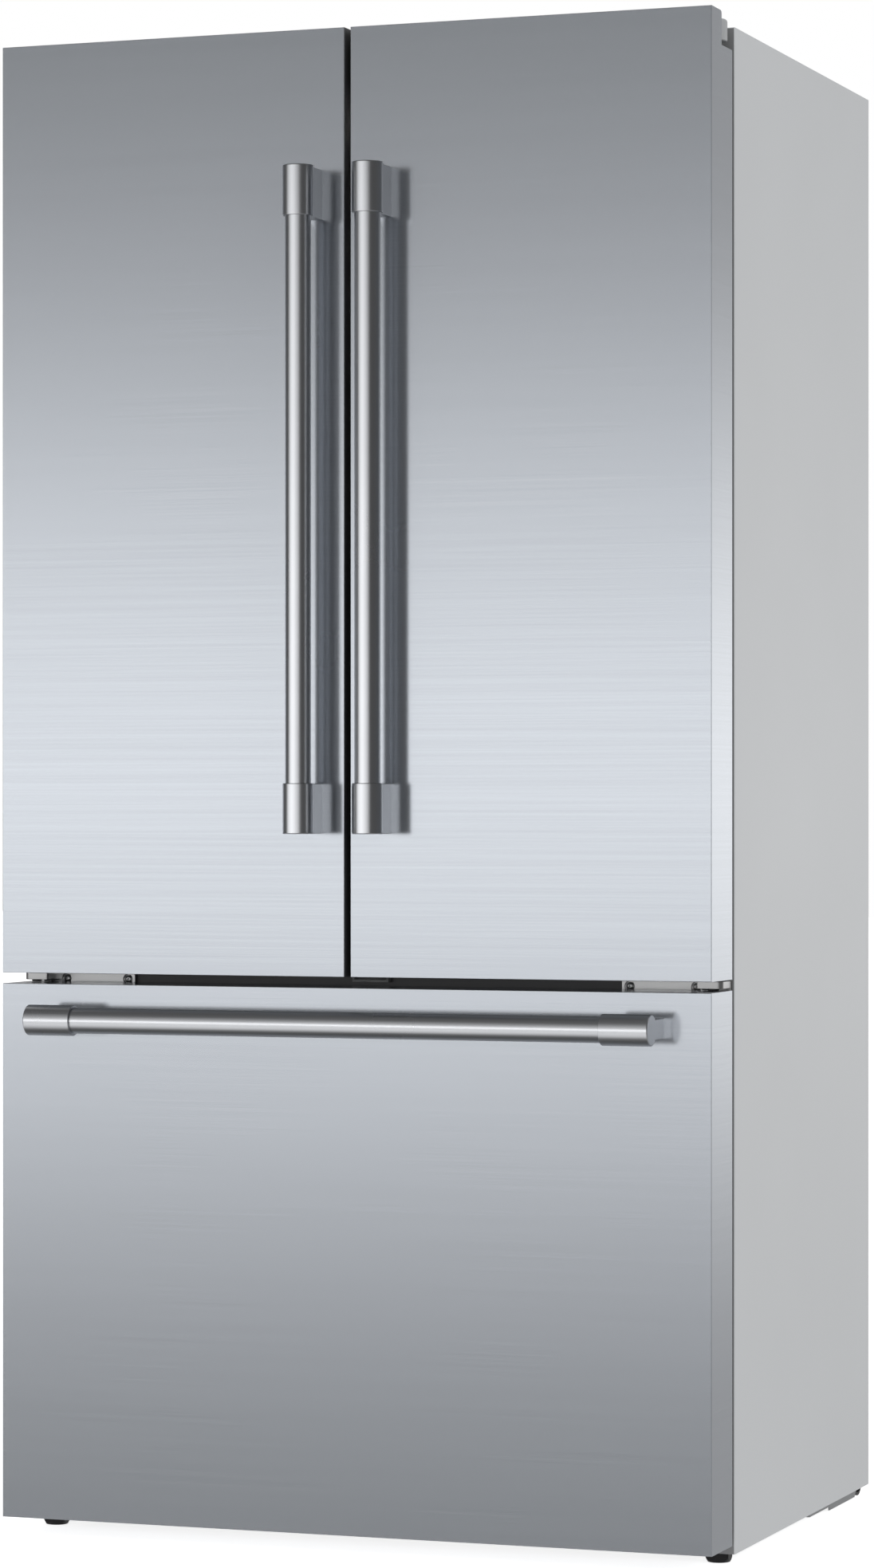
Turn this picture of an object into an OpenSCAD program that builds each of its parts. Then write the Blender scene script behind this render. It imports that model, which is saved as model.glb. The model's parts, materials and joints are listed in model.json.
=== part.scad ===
/* [Overall] */
// Width over the doors and the cabinet sides
body_w = 905; // [895:1:915]
// Height of the door tops above the floor
door_top = 1822; // [1815:1:1830]
// Height of the cabinet top above the floor
cabinet_top = 1811; // [1806:1:1812]
// From the door faces to the rear edge of the cabinet
body_d = 709; // [706:1:730]
/* [Doors and drawer front] */
// Thickness of the doors and of the drawer front
door_t = 85; // [80:1:90]
// Gap between door and cabinet that the gasket fills
seal_gap = 10; // [9:0.5:12]
// Gap between the two doors
door_gap = 8; // [6:0.5:10]
// Height of the lower edge of the doors
door_z0 = 689; // [687:1:692]
// Height of the upper edge of the drawer front
drawer_z1 = 676; // [672:1:677]
// Height of the lower edge of the drawer front
drawer_z0 = 22.5; // [18:0.5:30]
// Thickness of the steel sheet
sheet = 1; // [0.8:0.1:1.2]
// Radius of the bends along the upright edges of the fronts
bend_r = 1.2; // [1.1:0.1:3]
/* [Handles] */
// Diameter of the handle tubes
bar_d = 31; // [26:0.5:34]
// Diameter of the sleeves at the ends of the tubes
sleeve_d = 37; // [34:0.5:40]
// Length of each sleeve
sleeve_l = 60; // [50:1:70]
// Distance from a tube's axis to the door face
handle_out = 48; // [44:0.5:55]
// Distance from a door handle's axis to the middle of the gap
handle_x = 44; // [40:1:60]
// Height of the lower end of the door handles
handle_z0 = 860; // [820:1:900]
// Length of the door handles
handle_l = 793; // [700:1:820]
// Length of the drawer handle
drawer_handle_l = 790; // [700:1:800]
// Height of the drawer handle's axis
drawer_handle_z = 634; // [600:1:640]
/* [Motion hardware] */
// Distance of each door's hinge axis from the middle plane
pivot_x = 436; // [434:0.5:437]
// Distance of each door's hinge axis behind the door face
pivot_y = 64; // [63:0.5:64]
// Radius of the hinge pins
pin_r = 6; // [5:0.5:7]
// Radial clearance of every running fit
fit = 0.05; // [0.02:0.01:0.1]
// Radius of the rear rollers
roller_r = 19; // [18:0.5:19]

/* [Hidden] */
$fn = 48;

past = 1;                                   // how far a cut runs past a face
half_w = body_w / 2;
face_y = -(body_d - handle_out - sleeve_d / 2) / 2;   // the door faces, in the part's frame
cab_y0 = door_t + seal_gap;                 // front face of the cabinet
cab_z0 = 11;                                // lower edge of the cabinet sides
face_w = 44;                                // width of the cabinet's front face
liner_t = 2;
foam_y1 = body_d - 5;                       // back of the insulation
foam_z0 = 40;
cave_x = 402;                               // half width of both compartments, over the liner
cave_y1 = 650;                              // back of both compartments, over the liner
fridge_z = [712, 1762];                     // fridge compartment, over the liner
freezer_z = [86, 652];                      // freezer compartment, over the liner
step_y = 462;                               // back of the freezer's lower part
step_z = 320;                               // height of the freezer's step
bay_y0 = 490;                               // front of the machine bay
bay_x = 430;
bay_z1 = 296;
door_x0 = door_gap / 2;
notch_x = 386;                              // hinge notch in each door's upper outer corner
notch_y = 41;
notch_z = 1782;
land_x1 = 434;                              // outer edge of the gaskets
gasket_w = 12;
dyke_x = [60, 380];                         // door bins stand between these ribs
dyke_y1 = 125;
shelf_y = [205, 625];
shelf_z = [1190, 1480];                     // tops of the shelf arms
shelf_t = 9;
back_z = [930, 1700];                       // shelf tracks and air duct on the back wall
bin_z = [930, 1200, 1470];                  // door bins
bin_h = 95;
hinge_z = [678.7, 687.2];                   // lower hinge arms, in the gap above the drawer
hinge_plate_t = 6;                          // lower hinge plates, on the cabinet face
hinge_plate_z0 = 674.5;
hinge_screw_z = 679.5;
hinge_nut_z0 = 676.5;                       // nut and stop under each lower hinge arm
bush_r = 10;
hinge_eye_r = 11;                           // steel eye inside each upper hinge cover
foot_stem_r = 5;
axle_r = 3;                                 // axles of the rear rollers
knuckle_r = 16;                             // round end of each upper hinge cover
knuckle_z0 = 1790;
post_w = 24;                                // width of the handle posts
slide_z = [392, 430];
slide_y = [108, 446];
fan_pos = [-60, 600, 150];
foot_pos = [429, 108.5, 0];                 // axis of each levelling foot
roller_pos = [426, 680, roller_r];          // inner end of each roller's axis
rail_x = 449;                               // inner side of the two bottom rails
cheek_x = 412;                              // inner cheek of each roller bracket
screw_x = [324.5, 407];                     // screws in the lower hinge plates
track_x = [62, 344];                        // inner edges of the shelf tracks
flap_pin = [15, 103];                       // hinge axis of the mullion flap
flap_t = 12;                                // its thickness
flap_pin_r = 2.5;

module place() translate([0, face_y, 0]) children();
module span(lo, hi) translate(lo) cube(hi - lo);
module on_side(side) if (side > 0) children(); else mirror([1, 0, 0]) children();
module both_sides() { children(); mirror([1, 0, 0]) children(); }
module along_x() rotate([0, 90, 0]) children();
module along_y() rotate([-90, 0, 0]) children();

// a box with its two front upright edges rounded; its front face is at y
module slab(x0, x1, y, y1, z0, z1, r)
    translate([0, y, z0]) linear_extrude(z1 - z0) {
        translate([x0 + r, 0]) square([x1 - x0 - 2 * r, y1 - y]);
        translate([x0, r]) square([x1 - x0, y1 - y - r]);
        for (x = [x0 + r, x1 - r]) translate([x, r]) circle(r);
    }

// an open-topped box
module tub(lo, hi, wall) difference() {
    span(lo, hi);
    span(lo + [wall, wall, wall], hi + [-wall, -wall, past]);
}

// a flat rectangular ring in the XZ plane
module frame_ring(lo, hi, w) difference() {
    span(lo, hi);
    span(lo + [w, -past, w], hi + [-w, past, -w]);
}

/* ---- cabinet ---- */
module cabinet_shell() color("silver") place() difference() {
    span([-half_w, cab_y0, cab_z0], [half_w, body_d, cabinet_top]);
    span([sheet - half_w, cab_y0 + sheet, cab_z0 - past],
         [half_w - sheet, body_d + past, cabinet_top - sheet]);
    span([face_w - half_w, cab_y0 - past, freezer_z[0] - 5],
         [half_w - face_w, cab_y0 + 2 * sheet, cabinet_top - face_w]);
}

module back_panel() color("lightgray") place() {
    span([sheet - half_w, foam_y1, bay_z1], [half_w - sheet, foam_y1 + 2, cabinet_top - sheet]);
    for (x = [-360 : 180 : 360])
        span([x - 30, foam_y1 + 2, bay_z1 + 80], [x + 30, foam_y1 + 4, cabinet_top - 80]);
}

module machine_cover() color("lightgray") place() difference() {
    union() {
        span([-bay_x, foam_y1, 24], [bay_x, foam_y1 + 2, foam_z0 + 1]);
        span([sheet - half_w, foam_y1, foam_z0], [half_w - sheet, foam_y1 + 2, bay_z1 - 0.5]);
    }
    for (x = [-260, 120], z = [70 : 16 : 246])
        span([x, foam_y1 - past, z], [x + 200, foam_y1 + 2 + past, z + 6]);
    span([368, foam_y1 - past, 52], [404, foam_y1 + 2 + past, 80]);
}

module cabinet_foam() color("khaki") place() difference() {
    span([sheet - half_w, cab_y0 + sheet, foam_z0], [half_w - sheet, foam_y1, cabinet_top - sheet]);
    span([-cave_x, 0, fridge_z[0]], [cave_x, cave_y1, fridge_z[1]]);
    span([-cave_x, 0, step_z], [cave_x, cave_y1, freezer_z[1]]);
    span([-cave_x, 0, freezer_z[0]], [cave_x, step_y, step_z + past]);
    span([-bay_x, bay_y0, 0], [bay_x, body_d, bay_z1]);
}

// a plastic liner's lip, which laps the cabinet's front face
module liner_lip(z0, z1) difference() {
    span([face_w - half_w, cab_y0, z0], [half_w - face_w, cab_y0 + sheet, z1]);
    span([liner_t - cave_x, 0, z0 + 7], [cave_x - liner_t, body_d, z1 - 7]);
}

module fridge_liner() color("white") place() {
    liner_lip(fridge_z[0] - 5, fridge_z[1] + 5);
    difference() {
        span([-cave_x, cab_y0 + sheet, fridge_z[0]], [cave_x, cave_y1, fridge_z[1]]);
        span([liner_t - cave_x, 0, fridge_z[0] + liner_t],
             [cave_x - liner_t, cave_y1 - liner_t, fridge_z[1] - liner_t]);
    }
}

module freezer_liner() color("white") place() {
    liner_lip(freezer_z[0] - 5, freezer_z[1] + 5);
    difference() {
        union() {
            span([-cave_x, cab_y0 + sheet, step_z], [cave_x, cave_y1, freezer_z[1]]);
            span([-cave_x, cab_y0 + sheet, freezer_z[0]], [cave_x, step_y, step_z + past]);
        }
        span([liner_t - cave_x, 0, step_z + liner_t],
             [cave_x - liner_t, cave_y1 - liner_t, freezer_z[1] - liner_t]);
        span([liner_t - cave_x, 0, freezer_z[0] + liner_t],
             [cave_x - liner_t, step_y - liner_t, step_z + liner_t + past]);
    }
}

module center_rail() color("dimgray") place()
    span([face_w - half_w, cab_y0, freezer_z[1] + 5], [half_w - face_w, cab_y0 + sheet, fridge_z[0] - 5]);

// the small ramp that turns the mullion flap as the left door shuts
module mullion_guide() color("gray") place() {
    span([-27, cab_y0 - 9, 680], [20, cab_y0, 683]);
    for (x = [-27, 17]) span([x, cab_y0 - 9, 683], [x + 3, cab_y0, 686]);
}

module base_frame() color("gray") place() difference() {
    union() {
        span([sheet - half_w, cab_y0 + sheet, cab_z0], [half_w - sheet, 136, foam_z0]);
        both_sides() span([rail_x, 136, cab_z0], [half_w - sheet, foam_y1, foam_z0]);
        span([-rail_x - 1, 136, foam_z0 - 2], [rail_x + 1, bay_y0, foam_z0]);
        span([-404, bay_y0 - 3, 22], [404, bay_y0, foam_z0]);
        span([-404, bay_y0, 22], [404, foam_y1, 24]);
        both_sides() span([402, bay_y0, 22], [404, foam_y1, foam_z0]);
        both_sides() span([404, foam_y1 - 4, foam_z0 - 2], [rail_x + 1, foam_y1, foam_z0]);
    }
    both_sides() translate(foot_pos) cylinder(h = foam_z0 + past, r = foot_stem_r + fit);
    span([-400, cab_y0 + 3, cab_z0 - past], [400, 133, foam_z0 - 3]);
}

// cheeks that hold each rear roller, with the levelling rail in front of them
module roller_cheek() rotate([90, 0, 90]) linear_extrude(2)
    polygon([[530, 37.8], [530, 1.5], [652, 1.5], [656, 5], [659, 13], [690, 13], [690, 37.8]]);

module roller_brackets() color("gray") place() both_sides() {
    for (x = [cheek_x, rail_x - 2]) translate([x, 0, 0]) roller_cheek();
    span([cheek_x, 530, 36], [rail_x, 655, 37.8]);
    span([417, 436, 6], [rail_x, 500, 8]);
    span([rail_x - 2, 436, 6], [rail_x, 532, 37.8]);
    translate([cheek_x, roller_pos[1], roller_r]) along_x() cylinder(h = rail_x - cheek_x, r = axle_r);
}

module roller(side) color("black") place() on_side(side)
    translate(roller_pos) along_x() difference() {
        cylinder(h = 20, r = roller_r);
        for (z = [-past, 16]) translate([0, 0, z]) difference() {
            cylinder(h = 4 + past, r = roller_r - 4);
            translate([0, 0, -past]) cylinder(h = 9, r = 7);
        }
        for (a = [0 : 60 : 300]) rotate(a) translate([11, 0, -past]) cylinder(h = 22, r = 2.6);
        translate([0, 0, -past]) cylinder(h = 22, r = axle_r + fit);
    }
module roller_left() roller(-1);
module roller_right() roller(1);

// a hexagonal levelling foot with a coned lower edge and its threaded stem
module foot(side) color("black") place() on_side(side) translate(foot_pos) {
    intersection() {
        rotate(30) cylinder(h = 10.5, r = 16.3, $fn = 6);
        cylinder(h = 12, r1 = 13.4, r2 = 20);
    }
    cylinder(h = 34, r = foot_stem_r);
}
module foot_left() foot(-1);
module foot_right() foot(1);

/* ---- door hinges ---- */
module top_hinges() color("darkgray") place() both_sides() {
    span([404, pivot_y, cabinet_top], [433, 108, cabinet_top + 3]);
    span([380, 100, cabinet_top], [408, 190, cabinet_top + 3]);
    translate([pivot_x, pivot_y, cabinet_top]) cylinder(h = 3, r = hinge_eye_r);
    translate([pivot_x, pivot_y, notch_z - 20]) cylinder(h = cabinet_top + 21 - notch_z, r = pin_r);
    for (y = [120, 165]) translate([394, y, cabinet_top + 3]) cylinder(h = 3.5, r = 6);
}

// a moulded cover over each upper hinge, with the round knuckle in the door's notch
module hinge_covers() color("lightgray") place() both_sides() difference() {
    union() {
        span([374, cab_y0 + 2, cabinet_top], [412, 196, cabinet_top + 10]);
        span([400, pivot_y, cabinet_top - 5], [433, cab_y0 - 0.5, cabinet_top + 5]);
        span([400, pivot_y, cabinet_top + 0.2], [437, 110, cabinet_top + 5]);
        translate([pivot_x, pivot_y, knuckle_z0]) cylinder(h = cabinet_top + 5 - knuckle_z0, r = knuckle_r);
    }
    span([403.8, pivot_y - past, cabinet_top - 0.2], [433.2, 108.2, cabinet_top + 3.2]);
    span([379.8, 99.8, cabinet_top - 0.2], [408.2, 190.2, cabinet_top + 3.2]);
    span([386, 110, cabinet_top], [402, 175, cabinet_top + 7]);
    translate([pivot_x, pivot_y, cabinet_top - 0.2]) cylinder(h = 3.4, r = hinge_eye_r + 0.2);
    translate([pivot_x, pivot_y, knuckle_z0 - past])
        cylinder(h = cabinet_top - knuckle_z0 + 0.8, r = pin_r + 0.3);
}

// a plate on the cabinet face with two sunk screws, and an arm that carries the door's pin
module mid_hinges() color("silver") place() both_sides() {
    difference() {
        span([315, cab_y0 - hinge_plate_t, hinge_plate_z0], [449, cab_y0, hinge_z[1]]);
        for (x = screw_x) translate([x, cab_y0 - hinge_plate_t - past, hinge_screw_z]) along_y()
            cylinder(h = hinge_plate_t, r = 6.5);
    }
    for (x = screw_x) translate([x, cab_y0 - 4.5, hinge_screw_z]) along_y() cylinder(h = 3.6, r = 4.8);
    slab(417, 449, 54.6, cab_y0 - hinge_plate_t, hinge_z[0], hinge_z[1], 8);
    translate([pivot_x, pivot_y, hinge_nut_z0]) cylinder(h = 2.3, r = 6.5, $fn = 6);
    span([419, 72, hinge_nut_z0], [430, 84, hinge_z[0]]);
    translate([pivot_x, pivot_y, hinge_z[1]]) cylinder(h = 20, r = pin_r);
    translate([pivot_x, pivot_y, hinge_z[1]]) cylinder(h = 1.5, r = 9);
}

/* ---- machine bay ---- */
module compressor() color("#222222") place() translate([270, 596, 24]) {
    translate([0, 0, 18]) intersection() {
        cylinder(h = 190, r = 78);
        translate([0, 0, 90]) sphere(r = 112);
    }
    for (x = [-68, 68], y = [-52, 52]) translate([x, y, 0]) cylinder(h = 16, r = 13);
    span([-84, -66, 14], [84, 66, 19]);
    translate([-30, -70, 120]) rotate([90, 0, 0]) cylinder(h = 24, r = 5);
    span([70, -30, 70], [92, 30, 130]);
}

// plates across straight tubes
module fin_block(size, fins, rows, tube_r) {
    for (i = [0 : fins - 1])
        translate([i * (size[0] - 1) / (fins - 1), 0, 0]) cube([1, size[1], size[2]]);
    for (row = rows) translate([0, row[0], row[1]]) along_x() cylinder(h = size[0], r = tube_r);
}

module condenser() color("dimgray") place() translate([-330, 540, 26])
    fin_block([200, 120, 160], 18, [for (y = [25, 60, 95], z = [30, 80, 130]) [y, z]], 4);

module fan_motor() color("darkgray") place() {
    translate(fan_pos + [8, 0, 0]) along_x() cylinder(h = 40, r = 26);
    translate(fan_pos - [16, 0, 0]) along_x() cylinder(h = 26, r = 2);
    span([-45, 585, 24], [-42, 615, 140]);
    span([-52, 570, 24], [-20, 630, 26]);
}

module condenser_fan() color("black") place() translate(fan_pos) along_x() difference() {
    union() {
        translate([0, 0, -12]) cylinder(h = 18, r = 20);
        for (a = [0 : 72 : 288]) rotate(a) translate([16, 0, -3]) rotate([28, 0, 0])
            translate([0, -17, -1]) cube([46, 34, 2]);
    }
    translate([0, 0, -14]) cylinder(h = 22, r = 2 + fit);
}

// the socket for a mains lead, in the cover of the machine bay
module power_inlet() color("#1c1c1c") place() difference() {
    union() {
        span([368.2, 680, 52.2], [403.8, foam_y1 + 3.5, 79.8]);
        span([362, foam_y1 + 2, 46], [410, foam_y1 + 3.5, 86]);
    }
    difference() {
        span([373, 686, 56], [399, body_d, 76]);
        for (x = [380, 386, 392]) span([x - 1, 685, 62], [x + 1, foam_y1 - 6, 70]);
    }
}

/* ---- fridge compartment ---- */
module shelf_arm() rotate([90, 0, 90]) linear_extrude(3)
    polygon([[shelf_y[0] + 8, -8], [shelf_y[0] + 8, 0], [cave_y1 - 11, 0], [cave_y1 - 11, -30]]);

module shelf_tracks() color("lightgray") place() both_sides() for (x = track_x) {
    span([x, cave_y1 - 10.5, back_z[0]], [x + 14, cave_y1 - liner_t, back_z[1]]);
    for (z = shelf_z) translate([x + 5.5, 0, z]) shelf_arm();
}

module shelf_pair(z) place() both_sides() difference() {
    span([6, shelf_y[0], z], [392, shelf_y[1], z + shelf_t]);
    span([18, shelf_y[0] + 14, z + 5], [380, shelf_y[1] - 14, z + shelf_t + past]);
}
module upper_shelves() color("lightcyan") shelf_pair(shelf_z[1] + 0.2);
module lower_shelves() color("lightcyan") shelf_pair(shelf_z[0] + 0.2);

module crisper_cover() color("lightcyan") place() {
    span([-394, 205, 900], [394, 625, 908]);
    span([-394, 198, 892], [394, 205, 912]);
    span([-6, 208, fridge_z[0] + liner_t], [6, 625, 900]);
    both_sides() span([394, 240, 896], [cave_x - liner_t, 600, 904]);
}

module crisper(side) color("aliceblue") place() on_side(side) {
    tub([12, 218, 720], [388, 612, 886], 3);
    span([12, 212, 720], [388, 218, 890]);
    span([100, 204, 866], [300, 212, 886]);
}
module crisper_left() crisper(-1);
module crisper_right() crisper(1);

module air_duct() color("white") place() difference() {
    span([-45, 628, back_z[0]], [45, cave_y1 - liner_t, back_z[1]]);
    for (z = [990 : 120 : 1650]) span([-30, 627, z], [30, 634, z + 10]);
}

module ceiling_light() color("whitesmoke") place()
    slab(-160, 160, 230, 300, fridge_z[1] - liner_t - 7, fridge_z[1] - liner_t, 6);

/* ---- freezer compartment ---- */
module evaporator() color("silver") place() translate([-300, 604, 340])
    fin_block([600, 40, 270], 20, [for (y = [12, 30], z = [40, 135, 230]) [y, z]], 4);

module evaporator_cover() color("white") place() difference() {
    span([-398, 594, step_z + liner_t + 1], [398, 598, freezer_z[1] - liner_t - 1]);
    for (x = [-300 : 150 : 300], z = [360, 600]) span([x - 45, 593, z], [x + 45, 599, z + 12]);
}

module slide_bar(x0, x1, grow, y0) both_sides()
    span([x0, y0, slide_z[0] + grow], [x1, slide_y[1], slide_z[1] - grow]);
module slide_outer() color("silver") place() slide_bar(395, 400, 0, slide_y[0]);
module slide_middle() color("silver") place() slide_bar(389, 394.5, 4, slide_y[0]);
module slide_inner() color("silver") place() {
    slide_bar(383, 388.5, 8, door_t + 2);
    both_sides() span([352, door_t, slide_z[0] + 8], [388.5, door_t + 3, slide_z[1] - 8]);
}

/* ---- doors; each is drawn on the right and mirrored for the left ---- */
module hinge_notch(grow)
    span([notch_x - grow, notch_y - grow, notch_z - grow],
         [half_w + past, door_t + past, door_top + past]);

module bushing_holes(r) {
    translate([pivot_x, pivot_y, door_z0 - past]) cylinder(h = 24 + past, r = r);
    translate([pivot_x, pivot_y, notch_z - 26]) cylinder(h = 26 + past, r = r);
}

module door_skin(side) color("lightsteelblue") place() on_side(side) difference() {
    slab(door_x0, half_w, 0, door_t, door_z0, door_top, bend_r);
    hinge_notch(0);
    difference() {
        slab(door_x0 + sheet, half_w - sheet, sheet, door_t + past,
             door_z0 + sheet, door_top - sheet, bend_r - sheet);
        hinge_notch(sheet);
    }
    bushing_holes(bush_r + fit);
}

module door_foam(side) color("khaki") place() on_side(side) difference() {
    slab(door_x0 + sheet, half_w - sheet, sheet, door_t - liner_t,
         door_z0 + sheet, door_top - sheet, bend_r - sheet);
    hinge_notch(sheet);
    bushing_holes(bush_r);
}

module flap_ears() for (z = [729, 1736]) difference() {
    union() {
        span([25, door_t, z], [40, 110, z + 10]);
        span([9, 98, z], [26, 108, z + 10]);
    }
    translate([flap_pin[0], flap_pin[1], z - past]) cylinder(h = 12, r = flap_pin_r + fit);
}

module door_liner(side) color("white") place() on_side(side) {
    difference() {
        span([door_x0 + sheet, door_t - liner_t, door_z0 + sheet],
             [half_w - sheet, door_t, door_top - sheet]);
        hinge_notch(sheet);
    }
    frame_ring([dyke_x[0] - 14, door_t, 722], [dyke_x[1] + 14, dyke_y1, 1752], 14);
    if (side < 0) flap_ears();
}

module door_gasket(side) color("gray") place() on_side(side)
    frame_ring([door_x0 + 2, door_t, door_z0 + 2], [land_x1, cab_y0 - 0.3, notch_z - 2], gasket_w);

module bushings(side) color("white") place() on_side(side) {
    translate([pivot_x, pivot_y, door_z0]) difference() {
        cylinder(h = 24, r = bush_r);
        translate([0, 0, -past]) cylinder(h = 19 + past, r = pin_r + fit);
    }
    translate([pivot_x, pivot_y, notch_z - 26]) difference() {
        cylinder(h = 26, r = bush_r);
        translate([0, 0, 4]) cylinder(h = 22 + past, r = pin_r + fit);
    }
}

module handle_tube(length) cylinder(h = length - 2 * sleeve_l, r = bar_d / 2, center = true);

// the two sleeves with their posts; the handle runs along Z and its posts reach towards +Y
module handle_pair(length) for (end = [-1, 1])
    mirror([0, 0, end < 0 ? 1 : 0]) translate([0, 0, length / 2 - sleeve_l]) {
        rotate_extrude() polygon([[0, 0], [sleeve_d / 2 - 1, 0], [sleeve_d / 2, 1],
            [sleeve_d / 2, sleeve_l - 1.5], [sleeve_d / 2 - 1.5, sleeve_l], [0, sleeve_l]]);
        span([-post_w / 2, 0, 0], [post_w / 2, handle_out, sleeve_l]);
    }

module at_door_handle(side) place() on_side(side)
    translate([handle_x, -handle_out, handle_z0 + handle_l / 2]) children();
module at_drawer_handle() place() translate([0, -handle_out, drawer_handle_z]) along_x() children();

module door_bins(side) color("aliceblue") place() on_side(side) for (z = bin_z)
    tub([dyke_x[0] + 3, door_t + 0.5, z], [dyke_x[1] - 3, door_t + 100, z + bin_h], 3);

module left_door_skin() door_skin(-1);
module left_door_foam() door_foam(-1);
module left_door_liner() door_liner(-1);
module left_gasket() door_gasket(-1);
module left_bushings() bushings(-1);
module left_handle_bar() color("silver") at_door_handle(-1) handle_tube(handle_l);
module left_handle_ends() color("silver") at_door_handle(-1) handle_pair(handle_l);
module left_bins() door_bins(-1);
module right_door_skin() door_skin(1);
module right_door_foam() door_foam(1);
module right_door_liner() door_liner(1);
module right_gasket() door_gasket(1);
module right_bushings() bushings(1);
module right_handle_bar() color("silver") at_door_handle(1) handle_tube(handle_l);
module right_handle_ends() color("silver") at_door_handle(1) handle_pair(handle_l);
module right_bins() door_bins(1);

// the strip on the left door's free edge that closes the middle gap, folded back
module mullion_flap() color("lightgray") place() translate([-flap_pin[0], flap_pin[1], 0]) {
    span([-flap_t / 2, 0, 740], [flap_t / 2, 36, 1735]);
    translate([0, 0, 740]) cylinder(h = 995, r = flap_t / 2);
    translate([0, 0, 731]) cylinder(h = 1013, r = flap_pin_r);
}

/* ---- freezer drawer ---- */
module drawer_skin() color("lightsteelblue") place() difference() {
    slab(-half_w, half_w, 0, door_t, drawer_z0, drawer_z1, bend_r);
    slab(sheet - half_w, half_w - sheet, sheet, door_t + past,
         drawer_z0 + sheet, drawer_z1 - sheet, bend_r - sheet);
}
module drawer_foam() color("khaki") place()
    slab(sheet - half_w, half_w - sheet, sheet, door_t - liner_t,
         drawer_z0 + sheet, drawer_z1 - sheet, bend_r - sheet);
module drawer_liner() color("white") place()
    span([sheet - half_w, door_t - liner_t, drawer_z0 + sheet],
         [half_w - sheet, door_t, drawer_z1 - sheet]);
module drawer_gasket() color("gray") place()
    frame_ring([-land_x1, door_t, 66], [land_x1, cab_y0 - 0.3, 672], gasket_w);
module drawer_handle_bar() color("silver") at_drawer_handle() handle_tube(drawer_handle_l);
module drawer_handle_ends() color("silver") at_drawer_handle() handle_pair(drawer_handle_l);
module drawer_basket() color("aliceblue") place() {
    tub([-350, 104, 100], [350, 450, 404], 3);
    both_sides() span([350, 110, 401], [382.5, 440, 404]);
}
module freezer_tray() color("aliceblue") place() tub([-360, 108, 450], [360, 500, 530], 3);

cabinet_shell();
back_panel();
machine_cover();
cabinet_foam();
fridge_liner();
freezer_liner();
center_rail();
mullion_guide();
base_frame();
roller_brackets();
top_hinges();
hinge_covers();
mid_hinges();
compressor();
condenser();
fan_motor();
power_inlet();
shelf_tracks();
upper_shelves();
lower_shelves();
crisper_cover();
air_duct();
ceiling_light();
evaporator();
evaporator_cover();
slide_outer();
roller_left();
roller_right();
foot_left();
foot_right();
condenser_fan();
crisper_left();
crisper_right();
slide_middle();
left_door_skin();
left_door_foam();
left_door_liner();
left_gasket();
left_bushings();
left_handle_bar();
left_handle_ends();
left_bins();
mullion_flap();
right_door_skin();
right_door_foam();
right_door_liner();
right_gasket();
right_bushings();
right_handle_bar();
right_handle_ends();
right_bins();
drawer_skin();
drawer_foam();
drawer_liner();
drawer_gasket();
drawer_handle_bar();
drawer_handle_ends();
drawer_basket();
slide_inner();
freezer_tray();
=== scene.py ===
import json
import math

import bmesh
import bpy
from mathutils import Matrix, Vector


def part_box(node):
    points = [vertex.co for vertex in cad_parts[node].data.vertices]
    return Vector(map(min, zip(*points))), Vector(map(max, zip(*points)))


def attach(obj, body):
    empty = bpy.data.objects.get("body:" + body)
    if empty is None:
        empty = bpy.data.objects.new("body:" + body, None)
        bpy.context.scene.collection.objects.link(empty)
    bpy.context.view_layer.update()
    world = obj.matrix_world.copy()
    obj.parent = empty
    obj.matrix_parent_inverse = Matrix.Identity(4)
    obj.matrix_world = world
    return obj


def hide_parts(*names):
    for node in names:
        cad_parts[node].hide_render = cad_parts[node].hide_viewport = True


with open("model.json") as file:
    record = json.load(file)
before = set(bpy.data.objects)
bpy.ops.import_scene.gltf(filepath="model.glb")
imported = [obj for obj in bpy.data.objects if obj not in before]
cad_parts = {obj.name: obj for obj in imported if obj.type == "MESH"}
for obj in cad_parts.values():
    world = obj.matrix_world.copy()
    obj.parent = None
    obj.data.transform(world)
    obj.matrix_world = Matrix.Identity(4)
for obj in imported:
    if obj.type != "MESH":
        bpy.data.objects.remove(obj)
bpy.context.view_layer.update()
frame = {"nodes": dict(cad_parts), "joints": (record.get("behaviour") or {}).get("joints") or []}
MM = 0.001
NEAR = 1e-6        # positions closer than this count as equal, m
FACING = 0.9       # a face of the wrapper is a front face, which gets the painted shade, if its normal points forward by more than this
EDGE_FACING = 0.95 # the same for the door edges that get the painted gap shade; the last strip of the bent front edge stays below it

# ------------------------------------------------------------------ camera
CAMERA_AZIMUTH = math.radians(20.04)   # to the right of the doors' middle plane
CAMERA_HEIGHT = 0.897
CAMERA_DISTANCE = 5.582                # from where its axis meets the door faces
CAMERA_AIM_X = 0.1138
CAMERA_LENS = 108.24
HORIZON_SHIFT = 0.01195

FACE_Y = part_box("right_door_skin")[0].y


def make_camera():
    data = bpy.data.cameras.new("camera")
    data.lens = CAMERA_LENS
    data.shift_y = HORIZON_SHIFT
    data.clip_end = 100
    cam = bpy.data.objects.new("camera", data)
    bpy.context.scene.collection.objects.link(cam)
    back = Vector((math.sin(CAMERA_AZIMUTH), -math.cos(CAMERA_AZIMUTH), 0))
    cam.location = Vector((CAMERA_AIM_X, FACE_Y, CAMERA_HEIGHT)) + back * CAMERA_DISTANCE
    cam.rotation_euler = (math.radians(90), 0, CAMERA_AZIMUTH)
    bpy.context.scene.camera = cam


make_camera()


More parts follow.
